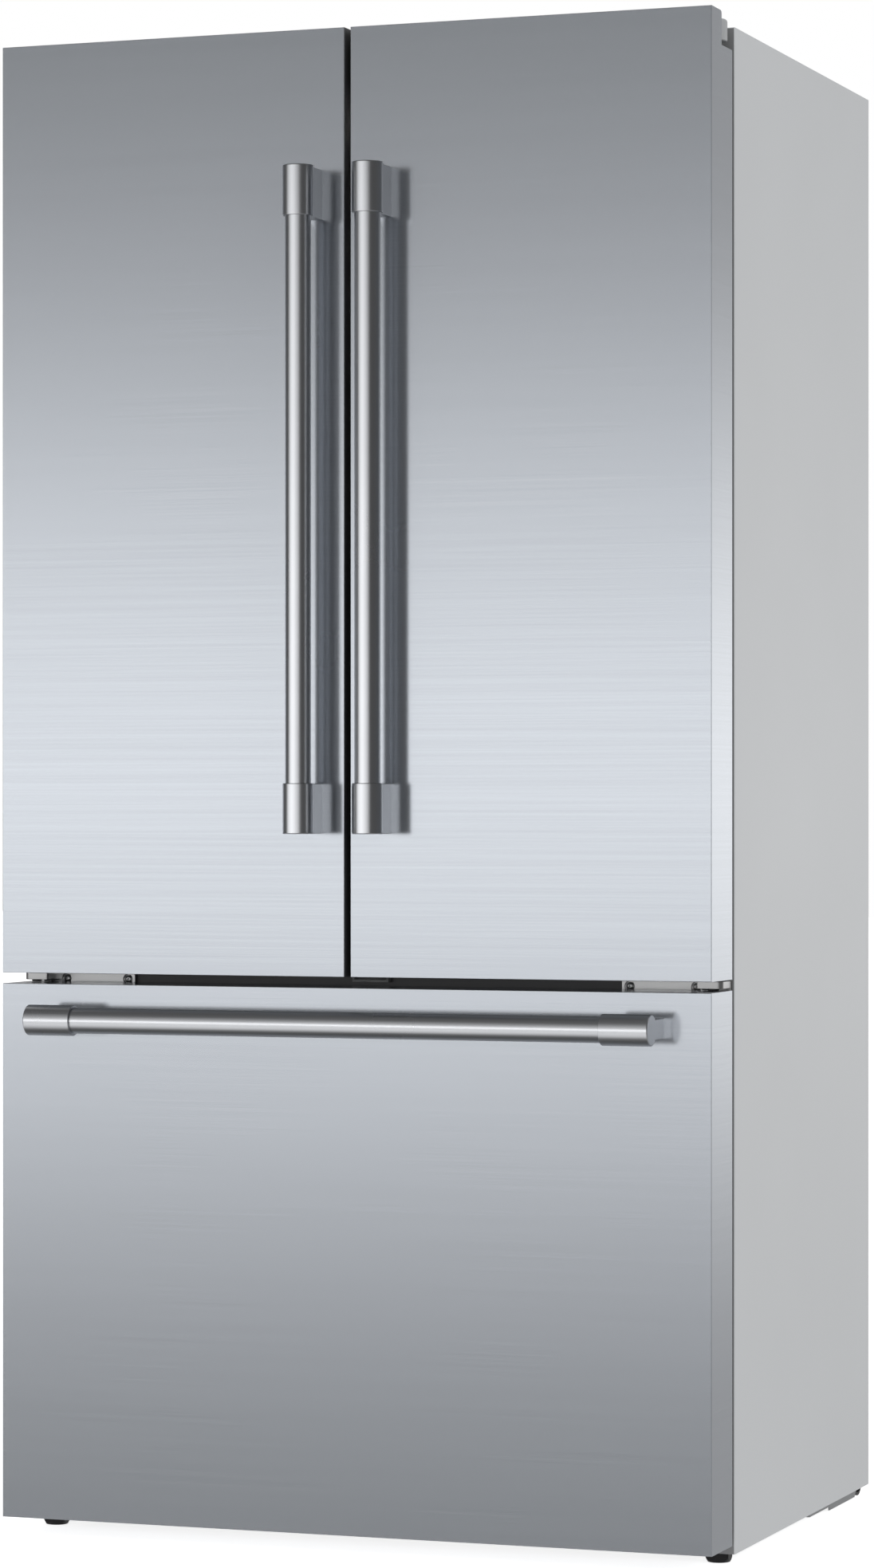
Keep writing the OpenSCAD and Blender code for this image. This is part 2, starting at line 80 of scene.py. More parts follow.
# ------------------------------------------------------------------ materials
class Nodes:
    """A small hand for building one material's node tree."""

    def __init__(self, name):
        self.material = bpy.data.materials.new(name)
        self.material.use_nodes = True
        self.tree = self.material.node_tree
        self.shader = self.tree.nodes["Principled BSDF"]
        self.coords = self.tree.nodes.new("ShaderNodeTexCoord").outputs["Object"]

    def new(self, kind, **values):
        node = self.tree.nodes.new(kind)
        for key, value in values.items():
            if hasattr(node, key):
                setattr(node, key, value)
            else:
                node.inputs[key.replace("_", " ").title()].default_value = value
        return node

    def link(self, output, socket):
        self.tree.links.new(output, socket)

    def scaled(self, scale):
        node = self.tree.nodes.new("ShaderNodeMapping")
        node.inputs["Scale"].default_value = scale
        self.link(self.coords, node.inputs["Vector"])
        return node.outputs["Vector"]

    def noise(self, scale, detail=2.0, rough=0.5):
        """Noise of one scale, or of one scale for each axis."""
        scale = scale if isinstance(scale, tuple) else (scale, scale, scale)
        node = self.new("ShaderNodeTexNoise", Scale=1.0, Detail=detail, Roughness=rough)
        self.link(self.scaled(scale), node.inputs["Vector"])
        return node.outputs["Fac"]

    def ranged(self, value, low, high, from_low=0.3, from_high=0.7):
        """Spreads the middle of a noise over a range."""
        node = self.tree.nodes.new("ShaderNodeMapRange")
        for key, number in zip(("From Min", "From Max", "To Min", "To Max"),
                               (from_low, from_high, low, high)):
            node.inputs[key].default_value = number
        self.link(value, node.inputs["Value"])
        return node.outputs["Result"]

    def tint(self, value, color_a, color_b):
        node = self.tree.nodes.new("ShaderNodeValToRGB")
        node.color_ramp.elements[0].position = 0.3
        node.color_ramp.elements[1].position = 0.7
        node.color_ramp.elements[0].color = (*color_a, 1)
        node.color_ramp.elements[1].color = (*color_b, 1)
        self.link(value, node.inputs["Fac"])
        self.link(node.outputs["Color"], self.shader.inputs["Base Color"])

    def bump(self, height, strength, distance):
        node = self.tree.nodes.new("ShaderNodeBump")
        node.inputs["Strength"].default_value = strength
        node.inputs["Distance"].default_value = distance
        self.link(height, node.inputs["Height"])
        self.link(node.outputs["Normal"], self.shader.inputs["Normal"])

    def set(self, **values):
        for key, value in values.items():
            self.shader.inputs[key.replace("_", " ")].default_value = value
        return self


def shade(color, factor):
    return tuple(min(1.0, c * factor) for c in color)


def brushed(name, color, rough, grain, smear):
    """Steel brushed along the direction in which grain's scale is smallest."""
    n = Nodes(name)
    n.set(Metallic=0.86, Anisotropic=smear, Anisotropic_Rotation=0.25)
    fine = n.noise(grain, detail=3.0, rough=0.65)
    wide = n.noise(tuple(g * 0.3 for g in grain), detail=2.0)
    n.tint(fine, shade(color, 0.972), shade(color, 1.025))
    n.link(n.ranged(wide, rough - 0.005, rough + 0.005), n.shader.inputs["Roughness"])
    n.bump(fine, 0.05, 0.01 * MM)
    tangent = n.new("ShaderNodeTangent", direction_type="RADIAL", axis="Z")
    n.link(tangent.outputs["Tangent"], n.shader.inputs["Tangent"])
    return n.material


def turned_steel(name, color, rough):
    """Satin bar stock with a faint even grain."""
    n = Nodes(name)
    n.set(Metallic=1.0)
    grain = n.noise(1400, detail=2.0)
    cloud = n.noise(9)
    n.tint(grain, shade(color, 0.985), shade(color, 1.015))
    n.link(n.ranged(cloud, rough - 0.01, rough + 0.01), n.shader.inputs["Roughness"])
    n.bump(grain, 0.02, 0.01 * MM)
    return n.material


def paint(name, color, rough=0.42, peel=0.1):
    """Powder coat with a fine orange peel."""
    n = Nodes(name)
    peel_height = n.noise(650, detail=2.0)
    cloud = n.noise(3)
    n.tint(cloud, shade(color, 0.985), shade(color, 1.015))
    n.link(n.ranged(peel_height, rough - 0.03, rough + 0.03), n.shader.inputs["Roughness"])
    n.bump(peel_height, peel, 0.05 * MM)
    return n.material


def plastic(name, color, rough=0.35, grain=900, depth=0.1, alpha=1.0):
    """Moulded plastic with a fine spark-eroded grain."""
    n = Nodes(name)
    texture = n.noise(grain, detail=3.0)
    flow = n.noise((6, 6, 2))
    n.tint(flow, shade(color, 0.975), shade(color, 1.02))
    n.link(n.ranged(texture, rough - 0.05, rough + 0.05), n.shader.inputs["Roughness"])
    n.bump(texture, depth, 0.04 * MM)
    n.set(Alpha=alpha)
    return n.material


def rubber(name, color):
    n = Nodes(name)
    dust = n.noise(140, detail=5.0)
    n.tint(dust, shade(color, 0.85), shade(color, 1.2))
    n.link(n.ranged(dust, 0.62, 0.78), n.shader.inputs["Roughness"])
    n.bump(dust, 0.2, 0.05 * MM)
    return n.material


def zinc(name, color, rough=0.38):
    """Galvanized sheet: flat crystals of slightly different greys."""
    n = Nodes(name)
    n.set(Metallic=0.85)
    cells = n.new("ShaderNodeTexVoronoi", Scale=1.0)
    n.link(n.scaled((120, 120, 120)), cells.inputs["Vector"])
    spangle = cells.outputs["Color"]
    n.tint(spangle, shade(color, 0.95), shade(color, 1.04))
    n.link(n.ranged(spangle, rough - 0.04, rough + 0.04, 0.0, 1.0), n.shader.inputs["Roughness"])
    n.bump(n.noise(500), 0.1, 0.03 * MM)
    return n.material


def pane(name, color, alpha):
    """Toughened glass with faint rinse marks."""
    n = Nodes(name)
    marks = n.noise(24, detail=4.0)
    n.tint(marks, shade(color, 0.96), color)
    n.link(n.ranged(marks, 0.03, 0.09), n.shader.inputs["Roughness"])
    n.bump(marks, 0.02, 0.05 * MM)
    n.set(Alpha=alpha, IOR=1.5)
    return n.material


def glowing(name, color, strength):
    n = Nodes(name)
    ribs = n.noise((400, 4, 4), detail=1.0)
    n.tint(ribs, shade(color, 0.94), color)
    n.link(n.ranged(ribs, 0.3, 0.45), n.shader.inputs["Roughness"])
    n.set(Emission_Color=(*color, 1), Emission_Strength=strength)
    return n.material


def foam(name, color):
    n = Nodes(name)
    cells = n.noise(900, detail=4.0)
    n.tint(cells, shade(color, 0.8), shade(color, 1.1))
    n.link(n.ranged(cells, 0.85, 0.98), n.shader.inputs["Roughness"])
    n.bump(cells, 0.5, 0.2 * MM)
    return n.material


STEEL = (0.575, 0.605, 0.65)
M = {
    "steel": brushed("brushed_steel_fronts", STEEL, 0.17, (2.5, 2.5, 700), 0.6),
    "handle": turned_steel("satin_steel_handles", (0.56, 0.57, 0.59), 0.28),
    "paint": paint("grey_cabinet_paint", (0.612, 0.626, 0.640)),
    # painted shade for the cabinet's front flange
    "flange_shade_paint": paint("painted_flange_shade", (0.27, 0.274, 0.28)),
    "rail": paint("dark_rail_paint", (0.16, 0.16, 0.165)),
    # painted shade for the door edges that face the gap between the doors
    "gap_shade_paint": paint("painted_gap_shade", (0.085, 0.087, 0.09), 0.5),
    "zinc": zinc("galvanized_sheet", (0.64, 0.65, 0.66)),
    "base_zinc": zinc("galvanized_base_sheet", (0.40, 0.41, 0.42)),
    "hinge": turned_steel("hinge_plating", (0.66, 0.66, 0.66), 0.34),
    "cover": plastic("light_grey_plastic", (0.42, 0.43, 0.44), 0.42),
    "white": plastic("white_liner_plastic", (0.80, 0.81, 0.82), 0.28, 700, 0.06),
    "clear": plastic("clear_plastic", (0.86, 0.90, 0.93), 0.10, 300, 0.03, alpha=0.30),
    "glass": pane("shelf_glass", (0.72, 0.84, 0.82), 0.28),
    "gasket": rubber("gasket_rubber", (0.10, 0.10, 0.105)),
    "black": plastic("black_plastic", (0.012, 0.012, 0.013), 0.4),
    "enamel": paint("black_enamel", (0.015, 0.015, 0.017), 0.3, 0.2),
    "aluminium": turned_steel("mill_aluminium", (0.70, 0.71, 0.72), 0.38),
    "lens": glowing("light_lens", (1.0, 0.97, 0.92), 15.0),
    "foam": foam("polyurethane_foam", (0.72, 0.62, 0.36)),
}


# ------------------------------------------------------------------ shapes
def bevelled(bm, edges, radius, segments=2):
    bmesh.ops.bevel(bm, geom=list(edges), offset=radius, offset_type="OFFSET",
                    segments=segments, profile=0.5, affect="EDGES", clamp_overlap=True)
    return bm


def solid(points, faces):
    bm = bmesh.new()
    verts = [bm.verts.new(p) for p in points]
    for face in faces:
        bm.faces.new([verts[i] for i in face])
    bmesh.ops.recalc_face_normals(bm, faces=bm.faces)
    return bm


def block(lo, hi, radius=0.0, segments=2):
    """A box with rounded edges."""
    x0, y0, z0 = lo
    x1, y1, z1 = hi
    bm = solid([(x, y, z) for z in (z0, z1) for y in (y0, y1) for x in (x0, x1)],
               [(0, 2, 3, 1), (4, 5, 7, 6), (0, 1, 5, 4), (1, 3, 7, 5), (3, 2, 6, 7), (2, 0, 4, 6)])
    if radius:
        bevelled(bm, bm.edges[:], radius, segments)
    return bm


def loft(loops, closed=False):
    """Faces between loops of equally many points, with flat ends unless the loops close."""
    bm = bmesh.new()
    rings = [[bm.verts.new(p) for p in loop] for loop in loops]
    count = len(rings[0])
    pairs = list(zip(rings, rings[1:]))
    if closed:
        pairs.append((rings[-1], rings[0]))
    for a, b in pairs:
        for i in range(count):
            j = (i + 1) % count
            bm.faces.new((a[i], a[j], b[j], b[i]))
    if not closed:
        bm.faces.new(rings[0])
        bm.faces.new(list(reversed(rings[-1])))
    bmesh.ops.recalc_face_normals(bm, faces=bm.faces)
    return bm


AXES = {"x": Matrix.Rotation(math.radians(90), 4, "Y"),
        "y": Matrix.Rotation(math.radians(-90), 4, "X"),
        "z": Matrix.Identity(4)}


def turned(profile, at, axis="z", sides=48):
    """Turns a profile of (radius, height) points round an axis through the point at."""
    loops = []
    for k in range(sides):
        a = math.tau * k / sides
        loops.append([(r * math.cos(a), r * math.sin(a), h) for r, h in profile])
    bm = loft(loops, closed=True)
    bmesh.ops.remove_doubles(bm, verts=bm.verts, dist=1e-7)
    bmesh.ops.transform(bm, matrix=Matrix.Translation(at) @ AXES[axis], verts=bm.verts)
    bmesh.ops.recalc_face_normals(bm, faces=bm.faces)
    return bm


def rod(at, length, radius, axis="z", edge=0.0005, sides=48):
    """A round bar from the point at along an axis, with softened ends."""
    edge = min(edge, radius / 2)
    return turned([(0, 0), (radius - edge, 0), (radius, edge), (radius, length - edge),
                   (radius - edge, length), (0, length)], at, axis, sides)


def rounded_loop(x0, x1, y0, y1, z, radius, steps=5):
    """A rectangle with round corners, seen from above."""
    loop = []
    for cx, cy, start in ((x1 - radius, y1 - radius, 0), (x0 + radius, y1 - radius, 90),
                          (x0 + radius, y0 + radius, 180), (x1 - radius, y0 + radius, 270)):
        for k in range(steps + 1):
            a = math.radians(start + 90 * k / steps)
            loop.append((cx + radius * math.cos(a), cy + radius * math.sin(a), z))
    return loop


def mirrored(bm):
    bmesh.ops.scale(bm, vec=(-1, 1, 1), verts=bm.verts)
    bmesh.ops.reverse_faces(bm, faces=bm.faces)
    return bm


def piece(name, body, material, shapes, replaces=(), smooth=True):
    """One object of several shapes, riding on a body and standing for CAD nodes."""
    mesh = bpy.data.meshes.new(name)
    whole = bmesh.new()
    for shape in shapes:
        part = bpy.data.meshes.new("part")
        shape.to_mesh(part)
        shape.free()
        whole.from_mesh(part)
        bpy.data.meshes.remove(part)
    whole.to_mesh(mesh)
    whole.free()
    mesh.materials.append(M[material])
    if smooth:
        mesh.shade_smooth()
        mesh.set_sharp_from_angle(angle=math.radians(38))
    obj = bpy.data.objects.new(name, mesh)
    bpy.context.scene.collection.objects.link(obj)
    if smooth:
        normals = obj.modifiers.new("even_normals", "WEIGHTED_NORMAL")
        normals.keep_sharp = True
    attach(obj, body)
    if replaces:
        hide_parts(*replaces)
    return obj


def on_side(shapes, side):
    return [mirrored(s) if side < 0 else s for s in shapes]


SIDES = (("left", -1), ("right", 1))


# ------------------------------------------------------------------ fronts
BEND = 0.6 * MM          # radius of the bent front edges
PANEL_BACK = 0.6 * MM    # a panel ends this far before the back of its skin
NOTCH_X = 0.386
NOTCH_Y = FACE_Y + 41 * MM
NOTCH_Z = 1.782


def flat_at(edge, axis, value):
    return all(abs(v.co[axis] - value) < NEAR for v in edge.verts)


def notched_block(lo, hi, notch):
    """A box without its upper outer rear corner; its front edges are bent to a radius."""
    x0, y0, z0 = lo
    x1, y1, z1 = hi
    xn, yn, zn = notch
    bm = solid([(x0, y0, z0), (x1, y0, z0), (x1, y1, z0), (x0, y1, z0),
                (x0, y0, z1), (x1, y0, z1), (x1, yn, z1), (xn, yn, z1), (xn, y1, z1), (x0, y1, z1),
                (x1, yn, zn), (x1, y1, zn), (xn, y1, zn), (xn, yn, zn)],
               [(0, 3, 2, 1), (0, 1, 5, 4), (1, 2, 11, 10, 6, 5), (2, 3, 9, 8, 12, 11), (3, 0, 4, 9),
                (4, 5, 6, 7, 8, 9), (10, 11, 12, 13), (6, 10, 13, 7), (7, 13, 12, 8)])
    bevelled(bm, [e for e in bm.edges if flat_at(e, 1, yn) and flat_at(e, 2, z1)], 4 * MM, 4)
    bevelled(bm, [e for e in bm.edges if flat_at(e, 1, y0)], BEND, 4)
    return bm


def front_block(lo, hi):
    bm = block(lo, hi)
    return bevelled(bm, [e for e in bm.edges if flat_at(e, 1, lo[1])], BEND, 4)


def paint_gap_shade(panel, side):
    """The edge that faces the other door gets near-black paint: painted shade that keeps the gap between the
    doors dark.
    """
    panel.data.materials.append(M["gap_shade_paint"])
    for face in panel.data.polygons:
        if face.normal.x * side < -EDGE_FACING:
            face.material_index = 1


def make_fronts():
    for name, side in SIDES:
        lo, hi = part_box("right_door_skin")
        hi.y -= PANEL_BACK
        shape = notched_block(lo, hi, (NOTCH_X, NOTCH_Y, NOTCH_Z))
        panel = piece(f"{name}_door_panel", f"{name}_door", "steel",
                      on_side([shape], side), [f"{name}_door_skin"])
        paint_gap_shade(panel, side)
    lo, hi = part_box("drawer_skin")
    hi.y -= PANEL_BACK
    piece("drawer_panel", "freezer_drawer", "steel",
          [front_block(lo, hi)], ["drawer_skin"])


make_fronts()


# ------------------------------------------------------------------ handles
SLEEVE_L = 60 * MM
POST_W = 24 * MM
handles = []


def sleeve_profile(radius, length):
    """From the tube's end of the sleeve at height 0 to its flat outer end."""
    soft = 1.4 * MM
    points = [(0.0, 0.0), (radius - 1.0 * MM, 0.0), (radius - 0.3 * MM, 0.3 * MM), (radius, 1.0 * MM)]
    points += [(radius - soft + soft * math.cos(a), length - soft + soft * math.sin(a))
               for a in (math.radians(90 * k / 4) for k in range(5))]
    return points + [(0.0, length)]


def post_shape(out):
    """A flat bar from the sleeve into the door; the handle runs along z."""
    end = SLEEVE_L - 0.25 * MM
    return block((-POST_W / 2, 2 * MM, 0.25 * MM), (POST_W / 2, out + 3 * MM, end), 0.9 * MM, 2)


def handle_parts(length, sleeve_r, bar_r, out):
    """Shapes of one handle, upright, centred on the origin, its posts reaching to +y."""
    half = length / 2
    tube = rod((0, 0, SLEEVE_L - half - 2 * MM), length - 2 * SLEEVE_L + 4 * MM, bar_r, sides=72)
    ends = []
    for up in (1, -1):
        for shape in (turned(sleeve_profile(sleeve_r, SLEEVE_L), (0, 0, 0), sides=72), post_shape(out)):
            bmesh.ops.translate(shape, vec=(0, 0, half - SLEEVE_L), verts=shape.verts)
            if up < 0:
                bmesh.ops.scale(shape, vec=(1, 1, -1), verts=shape.verts)
                bmesh.ops.reverse_faces(shape, faces=shape.faces)
            ends.append(shape)
    return [tube], ends


def moved(shapes, matrix):
    for shape in shapes:
        bmesh.ops.transform(shape, matrix=matrix, verts=shape.verts)
    return shapes


def make_handle(name, body, lie_down=False):
    lo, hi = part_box(f"{name}_handle_ends")
    bar_lo, bar_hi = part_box(f"{name}_handle_bar")
    centre = (bar_lo + bar_hi) / 2
    bar_r = (bar_hi.y - bar_lo.y) / 2
    length = (hi.x - lo.x) if lie_down else (hi.z - lo.z)
    sleeve_r = ((hi.z - lo.z) if lie_down else (hi.x - lo.x)) / 2
    tube, ends = handle_parts(length, sleeve_r, bar_r, FACE_Y - centre.y)
    turn = AXES["x"] if lie_down else AXES["z"]
    matrix = Matrix.Translation(centre) @ turn
    handles.append(piece(f"{name}_handle_tube", body, "handle", moved(tube, matrix),
                         [f"{name}_handle_bar"]))
    handles.append(piece(f"{name}_handle_sleeves", body, "handle", moved(ends, matrix),
                         [f"{name}_handle_ends"]))


make_handle("left", "left_door")
make_handle("right", "right_door")
make_handle("drawer", "freezer_drawer", lie_down=True)


# ------------------------------------------------------------------ cabinet wrapper
SHEET = 1.0 * MM
FACE_W = 44 * MM
CAB_LO, CAB_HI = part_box("cabinet_shell")


def arc(cy, cd, radius, start, end, steps=5):
    """Points of an arc; angles in degrees."""
    turn = [math.radians(start + (end - start) * k / steps) for k in range(steps + 1)]
    return [(cy + radius * math.cos(a), cd + radius * math.sin(a)) for a in turn]


def wrapper_section():
    """(y, inset) points of the bent sheet: side, rounded front edge, front face."""
    y0, y1, r = CAB_LO.y, CAB_HI.y, 1.6 * MM
    outer = arc(y0 + r, r, r, -90, -180)
    inner = arc(y0 + r, r, r - SHEET, -180, -90)
    return [(y1, 0.0)] + outer + [(y0, FACE_W), (y0 + SHEET, FACE_W)] + inner + [(y1, SHEET)]


def make_cabinet_wrapper():
    x, z0, z1 = CAB_HI.x, CAB_LO.z, CAB_HI.z
    section = wrapper_section()
    loops = []
    for sx, at_top in ((-1, False), (-1, True), (1, True), (1, False)):
        loops.append([(sx * (x - d), y, z1 - d if at_top else z0) for y, d in section])
    wrap = loft(loops)
    top = [e for e in wrap.edges
           if all(abs(v.co.z - z1) < NEAR and abs(abs(v.co.x) - x) < NEAR for v in e.verts)]
    bevelled(wrap, top, 1.2 * MM, 3)
    apron = block((FACE_W - x, CAB_LO.y, z0), (x - FACE_W, CAB_LO.y + SHEET, 81 * MM), 0.3 * MM, 1)
    wrapper = piece("cabinet_wrapper", "cabinet", "paint", [wrap, apron], ["cabinet_shell"])
    # the front faces of the wrapper and apron get a darker grey: painted shade for the front flange, which
    # lies in shade behind the doors
    wrapper.data.materials.append(M["flange_shade_paint"])
    for face in wrapper.data.polygons:
        if face.normal.y < -FACING:
            face.material_index = 1


make_cabinet_wrapper()


# ------------------------------------------------------------------ gaskets
def gasket_section(depth, width):
    """(y, across) points of a magnetic bellows seal, from its foot to its flat face."""
    w, d = width, depth
    return [(0.0, 0.25 * w), (0.0, 0.75 * w), (0.16 * d, 0.80 * w), (0.28 * d, 0.98 * w),
            (0.40 * d, 0.82 * w), (0.54 * d, 0.99 * w), (0.66 * d, 0.90 * w), (0.74 * d, 1.0 * w),
            (0.97 * d, 0.97 * w), (1.0 * d, 0.85 * w), (1.0 * d, 0.15 * w), (0.97 * d, 0.03 * w),
            (0.74 * d, 0.0), (0.66 * d, 0.10 * w), (0.54 * d, 0.01 * w), (0.40 * d, 0.18 * w),
            (0.28 * d, 0.02 * w), (0.16 * d, 0.20 * w)]


def make_gasket(node, body, name):
    lo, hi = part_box(node)
    section = gasket_section(hi.y - lo.y, 12 * MM)
    corners = ((lo.x, lo.z, 1, 1), (hi.x, lo.z, -1, 1), (hi.x, hi.z, -1, -1), (lo.x, hi.z, 1, -1))
    loops = [[(x + sx * w, lo.y + d, z + sz * w) for d, w in section] for x, z, sx, sz in corners]
    piece(name, body, "gasket", [loft(loops, closed=True)], [node])


make_gasket("left_gasket", "left_door", "left_seal")
make_gasket("right_gasket", "right_door", "right_seal")
make_gasket("drawer_gasket", "freezer_drawer", "drawer_seal")


# ------------------------------------------------------------------ moulded shapes
def prism(points, z0, z1):
    """An upright column over (x, y) points."""
    return loft([[(x, y, z) for x, y in points] for z in (z0, z1)])


def upright_loop(x0, x1, z0, z1, y, radius, steps=5):
    """A rectangle with round corners, standing at depth y."""
    return [(x, y, z) for x, z, _ in rounded_loop(x0, x1, z0, z1, 0.0, radius, steps)]


def tray(lo, hi, wall, radius, draft=4 * MM):
    """An open-topped moulded box: leaning walls, round corners and a thicker rim."""
    def ring(z, inset, r):
        return rounded_loop(lo[0] + inset, hi[0] - inset, lo[1] + inset, hi[1] - inset, z, r)

    z0, z1, soft = lo[2], hi[2], 1 * MM
    rim = 6 * MM
    return loft([ring(z0, draft + 4 * soft, radius - 3 * soft), ring(z0 + soft, draft + soft, radius),
                 ring(z0 + 4 * soft, draft, radius), ring(z1 - rim, soft, radius),
                 ring(z1 - rim + 0.3 * soft, 0, radius), ring(z1 - soft, 0, radius),
                 ring(z1, soft, radius), ring(z1, wall - 0.4 * soft, radius),
                 ring(z1 - 0.6 * soft, wall, radius), ring(z0 + wall + 4 * soft, wall + draft, radius),
                 ring(z0 + wall, wall + draft + 4 * soft, radius - 3 * soft)])


def ring_frame(lo, hi, width, radius=5 * MM):
    """A flat rectangular frame, seen from above, with softened edges."""
    soft = 0.8 * MM

    def ring(z, inset):
        return rounded_loop(lo[0] + inset, hi[0] - inset, lo[1] + inset, hi[1] - inset, z, radius)

    z0, z1 = lo[2], hi[2]
    return loft([ring(z0, soft), ring(z0 + soft, 0), ring(z1 - soft, 0), ring(z1, soft),
                 ring(z1, width - soft), ring(z1 - soft, width), ring(z0 + soft, width),
                 ring(z0, width - soft)], closed=True)


def pan_screw(at, axis, radius):
    """A low domed screw head with a recess in its middle."""
    h = radius * 0.55
    return turned([(0, 0), (radius, 0), (radius, h * 0.35), (radius * 0.8, h * 0.8), (radius * 0.45, h),
                   (radius * 0.3, h), (radius * 0.12, h * 0.45), (0, h * 0.4)], at, axis, 24)


# ------------------------------------------------------------------ door hinges
def hinge_axis():
    """The x and y of the right door's hinge."""
    joint = next(j for j in frame["joints"] if j["name"] == "right_door_hinge")
    return joint["pos_m"][0], joint["pos_m"][1]


PIVOT_X, PIVOT_Y = hinge_axis()
SCREW_XS = (324.5 * MM, 407 * MM)    # the two screws of a lower hinge
SCREW_Z = 679.5 * MM
PLATE_X0, PLATE_X1 = 315 * MM, 449 * MM
PLATE_Z0, PLATE_Z1 = 674.5 * MM, 687.2 * MM
ARM_Z0 = 678.7 * MM
NUT_Z = 676.5 * MM


def make_hinge_covers():
    lo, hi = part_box("hinge_covers")
    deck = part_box("cabinet_shell")[1].z
    profile = [(0, 0), (15, 0), (16, 1), (16, 22.5), (15.4, 24.4), (14, 25.6), (12.5, 26), (0, 26)]
    shapes = []
    for _, side in SIDES:
        knuckle = turned([(r * MM, z * MM) for r, z in profile], (PIVOT_X, PIVOT_Y, lo.z), "z", 64)
        body = block((hi.x - 78 * MM, CAB_LO.y + 2 * MM, deck), (hi.x - 40 * MM, hi.y, hi.z), 3 * MM, 4)
        neck = block((hi.x - 52 * MM, PIVOT_Y, deck + 0.3 * MM),
                     (hi.x - 15 * MM, CAB_LO.y + 15 * MM, deck + 5 * MM), 1.2 * MM, 3)
        front = block((hi.x - 52 * MM, PIVOT_Y, deck - 5 * MM),
                      (hi.x - 19 * MM, CAB_LO.y - 0.5 * MM, deck + 4.9 * MM), 0.8 * MM, 2)
        shapes += on_side([knuckle, body, neck, front], side)
    piece("hinge_caps", "cabinet", "cover", shapes, ["hinge_covers"])


def arc_points(cx, cz, radius, start, end, steps=14):
    """Points of an arc round (cx, cz); angles in degrees."""
    turns = (math.radians(start + (end - start) * k / steps) for k in range(steps + 1))
    return [(cx + radius * math.cos(a), cz + radius * math.sin(a)) for a in turns]


def hinge_plate(y0, y1):
    """The plate under a door, with a half-round recess for each screw."""
    outline = [(PLATE_X1, PLATE_Z0), (PLATE_X1, PLATE_Z1), (PLATE_X0, PLATE_Z1), (PLATE_X0, PLATE_Z0)]
    for x in SCREW_XS:
        outline += arc_points(x, SCREW_Z, 6.5 * MM, 230.3, -50.3)
    return loft([[(x, y, z) for x, z in outline] for y in (y0, y1)])


def hinge_arm():
    """The flat arm that reaches forward to the pin."""
    outline = ([(417, 89.2), (417, 58)] + arc_points(420, 57.6, 3, 180, 270, 4)
               + arc_points(441, 62.6, 8, 270, 360, 8) + [(449, 89.2)])
    arm = prism([(x * MM, FACE_Y + y * MM) for x, y in outline], ARM_Z0, PLATE_Z1)
    return bevelled(arm, [e for e in arm.edges if flat_at(e, 2, PLATE_Z1) or flat_at(e, 2, ARM_Z0)],
                    0.5 * MM, 2)


def hinge_screws(y0):
    """Screw heads that look forward out of the recesses."""
    heads = [pan_screw((x, y0 + 1.4 * MM, SCREW_Z), "y", 4.8 * MM) for x in SCREW_XS]
    forward = Matrix.Translation((0, 2 * y0 + 5.4 * MM, 0)) @ Matrix.Diagonal((1, -1, 1, 1))
    for head in moved(heads, forward):
        bmesh.ops.reverse_faces(head, faces=head.faces)
    return heads


def hinge_stop_parts():
    """The washer and nut of the pin and the stop of the door's swing."""
    washer = rod((PIVOT_X, PIVOT_Y, PLATE_Z1 + 0.05 * MM), 1.4 * MM, 9 * MM)
    nut = turned([(0, 0), (6, 0), (6.6, 0.5), (6.6, 2.1), (0, 2.1)], (0, 0, 0), "z", 6)
    moved([nut], Matrix.Translation((PIVOT_X, PIVOT_Y, NUT_Z)) @ Matrix.Scale(MM, 4))
    stop = block((419 * MM, FACE_Y + 72 * MM, NUT_Z), (430 * MM, FACE_Y + 84 * MM, 678.6 * MM), 0.5 * MM)
    return [washer, nut, stop]


def make_mid_hinges():
    back_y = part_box("mid_hinges")[1].y
    y0, y1 = back_y - 6 * MM, back_y - 0.2 * MM
    steel, dark = [], []
    for _, side in SIDES:
        back = block((PLATE_X0, back_y - 1.2 * MM, PLATE_Z0), (PLATE_X1, back_y - 0.1 * MM, PLATE_Z1))
        pin = rod((PIVOT_X, PIVOT_Y, PLATE_Z1 - MM), 21 * MM, 6 * MM)
        steel += on_side([hinge_plate(y0, y1), back, hinge_arm(), pin, *hinge_screws(y0)], side)
        dark += on_side(hinge_stop_parts(), side)
    piece("lower_hinges", "cabinet", "hinge", steel, ["mid_hinges"])
    piece("lower_hinge_stops", "cabinet", "black", dark)


make_hinge_covers()
make_mid_hinges()


# ------------------------------------------------------------------ fridge compartment
def make_fridge_liner():
    """The moulded compartment: a lip round the opening, round corners and a round-edged back."""
    lo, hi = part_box("fridge_liner")
    skin, r = 2 * MM, 16 * MM
    x, z0, z1 = 402 * MM, lo.z + 5 * MM, hi.z - 5 * MM

    def ring(y, inset, radius):
        return upright_loop(inset - x, x - inset, z0 + inset, z1 - inset, y, radius)

    loops = [ring(hi.y, 1 * MM, r), ring(hi.y - r, 0, r), ring(lo.y + 1.2 * MM, 0, r),
             ring(lo.y + 1.0 * MM, lo.x + x, r + 3 * MM), ring(lo.y, lo.x + x, r + 3 * MM),
             ring(lo.y, -1 * MM, r), ring(lo.y + 0.7 * MM, skin - 0.9 * MM, r), ring(lo.y + 3 * MM, skin, r)]
    for k in range(6):
        a = math.radians(90 * k / 5)
        loops.append(ring(hi.y - skin - r + r * math.sin(a), skin + r - r * math.cos(a), r))
    piece("fridge_inner_liner", "cabinet", "white", [loft(loops)], ["fridge_liner"])


